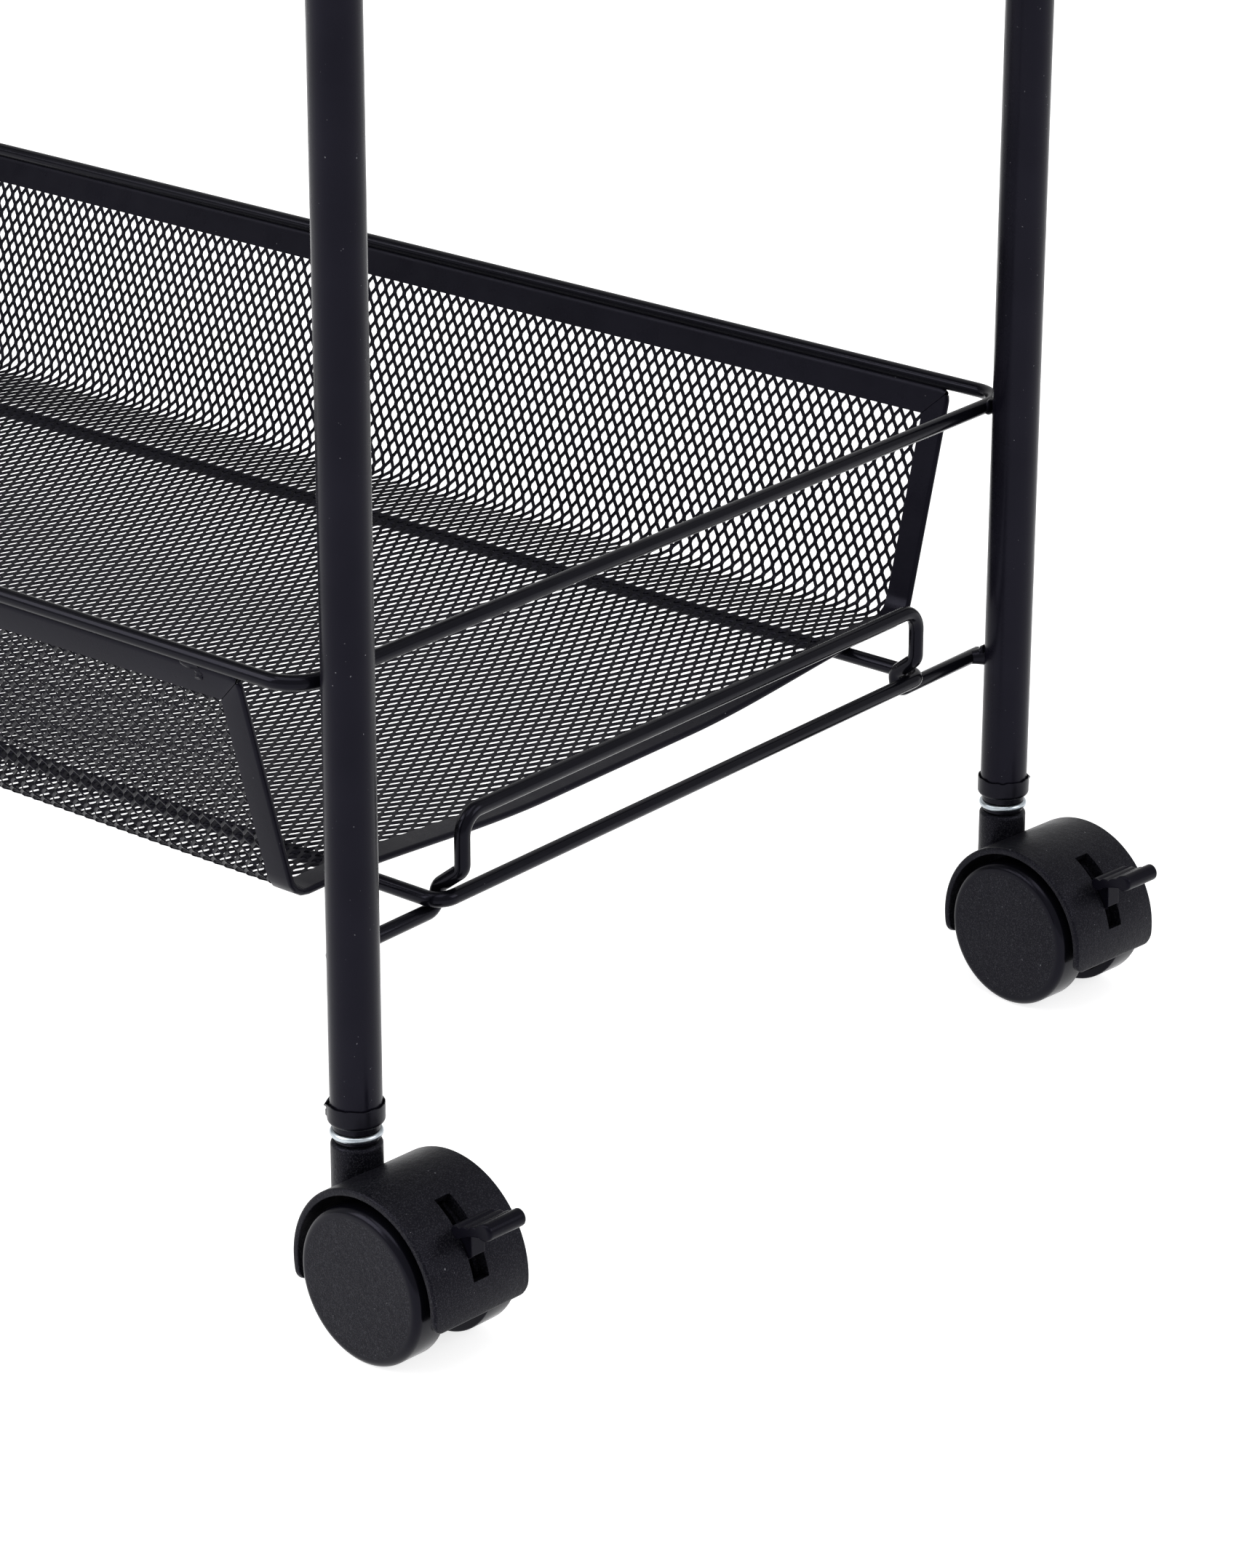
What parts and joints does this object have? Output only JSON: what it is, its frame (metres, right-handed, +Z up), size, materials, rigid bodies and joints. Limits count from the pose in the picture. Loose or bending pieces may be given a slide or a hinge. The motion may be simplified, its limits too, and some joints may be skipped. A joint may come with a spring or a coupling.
{
  "type": "wire shelf cart",
  "caption": "Rolling storage cart with bent-tube end frames, open mesh basket shelves hung on wire hooks, and twin-wheel swivel casters with brake levers at one end.",
  "frame": {"origin": "on the floor, under the middle of the rectangle that the four posts make", "axes": "+X along the cart towards the end with the brakes, +Y across it, +Z up"},
  "size_m": [0.6737, 0.3832, 0.865],
  "materials": {
    "tube": "satin black powder coat",
    "wire": "semi-gloss black powder coat",
    "mesh": "satin black powder coat",
    "strip": "satin dark grey-black powder coat",
    "socket": "matte moulded black",
    "hood": "fine-textured moulded black",
    "wheel": "fine-textured moulded black with a smoother rim",
    "lever": "smooth moulded black",
    "zinc": "bright zinc plate"
  },
  "bodies": {
    "cart": {"end_frame_brake": "tube", "end_frame_plain": "tube", "rim_wire_lower": "wire", "base_wire_lower": "wire", "mesh_tray_lower": "mesh", "rim_strip_lower_right": "strip", "rim_strip_lower_left": "strip", "end_strip_lower_brake": "strip", "hook_wire_lower_brake": "wire", "end_strip_lower_plain": "strip", "hook_wire_lower_plain": "wire", "rim_wire_middle": "wire", "base_wire_middle": "wire", "mesh_tray_middle": "mesh", "rim_strip_middle_right": "strip", "rim_strip_middle_left": "strip", "end_strip_middle_brake": "strip", "hook_wire_middle_brake": "wire", "end_strip_middle_plain": "strip", "hook_wire_middle_plain": "wire", "rim_wire_upper": "wire", "base_wire_upper": "wire", "mesh_tray_upper": "mesh", "rim_strip_upper_right": "strip", "rim_strip_upper_left": "strip", "end_strip_upper_brake": "strip", "hook_wire_upper_brake": "wire", "end_strip_upper_plain": "strip", "hook_wire_upper_plain": "wire", "tube_socket_brake_left": "socket", "caster_stem_brake_left": "zinc", "tube_socket_brake_right": "socket", "caster_stem_brake_right": "zinc", "tube_socket_plain_right": "socket", "caster_stem_plain_right": "zinc", "tube_socket_plain_left": "socket", "caster_stem_plain_left": "zinc"},
    "swivel_brake_left": {"caster_hood_brake_left": "hood", "wheel_axle_brake_left": "zinc"},
    "one_wheel_brake_left": {"wheel_one_brake_left": "wheel"},
    "two_wheel_brake_left": {"wheel_two_brake_left": "wheel"},
    "lever_brake_left": {"brake_lever_brake_left": "lever"},
    "swivel_brake_right": {"caster_hood_brake_right": "hood", "wheel_axle_brake_right": "zinc"},
    "one_wheel_brake_right": {"wheel_one_brake_right": "wheel"},
    "two_wheel_brake_right": {"wheel_two_brake_right": "wheel"},
    "lever_brake_right": {"brake_lever_brake_right": "lever"},
    "swivel_plain_right": {"caster_hood_plain_right": "hood", "wheel_axle_plain_right": "zinc"},
    "one_wheel_plain_right": {"wheel_one_plain_right": "wheel"},
    "two_wheel_plain_right": {"wheel_two_plain_right": "wheel"},
    "swivel_plain_left": {"caster_hood_plain_left": "hood", "wheel_axle_plain_left": "zinc"},
    "one_wheel_plain_left": {"wheel_one_plain_left": "wheel"},
    "two_wheel_plain_left": {"wheel_two_plain_left": "wheel"}
  },
  "joints": [
    {"name": "swivel_turn_brake_left", "type": "hinge", "parent": "cart", "child": "swivel_brake_left", "pos_m": [0.277, -0.1665, 0.055], "axis": [0, 0, 1], "continuous": true},
    {"name": "wheel_one_spin_brake_left", "type": "hinge", "parent": "swivel_brake_left", "child": "one_wheel_brake_left", "pos_m": [0.29945, -0.16807, 0.0254], "axis": [0.0698, 0.9976, 0], "continuous": true},
    {"name": "wheel_two_spin_brake_left", "type": "hinge", "parent": "swivel_brake_left", "child": "two_wheel_brake_left", "pos_m": [0.29945, -0.16807, 0.0254], "axis": [0.0698, 0.9976, 0], "continuous": true},
    {"name": "lever_lift_brake_left", "type": "hinge", "parent": "swivel_brake_left", "child": "lever_brake_left", "pos_m": [0.29945, -0.16807, 0.0254], "axis": [-0.0698, -0.9976, 0], "range_deg": [0, 22]},
    {"name": "swivel_turn_brake_right", "type": "hinge", "parent": "cart", "child": "swivel_brake_right", "pos_m": [0.277, 0.1665, 0.055], "axis": [0, 0, 1], "continuous": true},
    {"name": "wheel_one_spin_brake_right", "type": "hinge", "parent": "swivel_brake_right", "child": "one_wheel_brake_right", "pos_m": [0.29938, 0.16415, 0.0254], "axis": [0.1045, 0.9945, 0], "continuous": true},
    {"name": "wheel_two_spin_brake_right", "type": "hinge", "parent": "swivel_brake_right", "child": "two_wheel_brake_right", "pos_m": [0.29938, 0.16415, 0.0254], "axis": [0.1045, 0.9945, 0], "continuous": true},
    {"name": "lever_lift_brake_right", "type": "hinge", "parent": "swivel_brake_right", "child": "lever_brake_right", "pos_m": [0.29938, 0.16415, 0.0254], "axis": [-0.1045, -0.9945, 0], "range_deg": [0, 22]},
    {"name": "swivel_turn_plain_right", "type": "hinge", "parent": "cart", "child": "swivel_plain_right", "pos_m": [-0.277, 0.1665, 0.055], "axis": [0, 0, 1], "continuous": true},
    {"name": "wheel_one_spin_plain_right", "type": "hinge", "parent": "swivel_plain_right", "child": "one_wheel_plain_right", "pos_m": [-0.29945, 0.16807, 0.0254], "axis": [-0.0698, -0.9976, 0], "continuous": true},
    {"name": "wheel_two_spin_plain_right", "type": "hinge", "parent": "swivel_plain_right", "child": "two_wheel_plain_right", "pos_m": [-0.29945, 0.16807, 0.0254], "axis": [-0.0698, -0.9976, 0], "continuous": true},
    {"name": "swivel_turn_plain_left", "type": "hinge", "parent": "cart", "child": "swivel_plain_left", "pos_m": [-0.277, -0.1665, 0.055], "axis": [0, 0, 1], "continuous": true},
    {"name": "wheel_one_spin_plain_left", "type": "hinge", "parent": "swivel_plain_left", "child": "one_wheel_plain_left", "pos_m": [-0.29938, -0.16415, 0.0254], "axis": [-0.1045, -0.9945, 0], "continuous": true},
    {"name": "wheel_two_spin_plain_left", "type": "hinge", "parent": "swivel_plain_left", "child": "two_wheel_plain_left", "pos_m": [-0.29938, -0.16415, 0.0254], "axis": [-0.1045, -0.9945, 0], "continuous": true}
  ]
}
